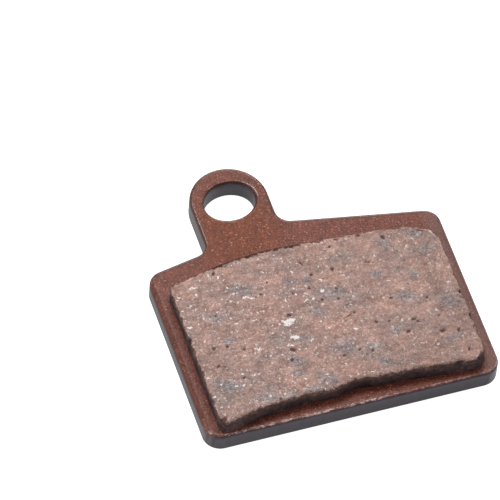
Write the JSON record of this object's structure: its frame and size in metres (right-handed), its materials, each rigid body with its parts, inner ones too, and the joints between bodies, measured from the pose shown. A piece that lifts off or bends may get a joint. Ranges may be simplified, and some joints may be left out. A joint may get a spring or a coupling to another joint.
{
  "type": "bicycle disc brake pad",
  "caption": "Disc brake pad for a bicycle caliper: a coated steel backing plate with an offset pin lug and an arc-edged friction block bonded to its front face.",
  "frame": {"origin": "on the axis of the pin hole, in the back face of the plate", "axes": "+X along the plate's width, towards its longer shoulder; +Y from the foot of the plate to the lug; +Z along the pin hole, from the plate to the rotor"},
  "size_m": [0.0276, 0.0279, 0.0036],
  "materials": {
    "coated_steel": "reddish-brown satin bonding coat on blanked steel, bare blue-grey steel on the sheared edges",
    "friction_compound": "matt ground compound with metal fibres, graphite smears and pits; dark moulded sides"
  },
  "bodies": {
    "root": {"backing_plate": "coated_steel", "friction_block": "friction_compound"}
  },
  "joints": []
}
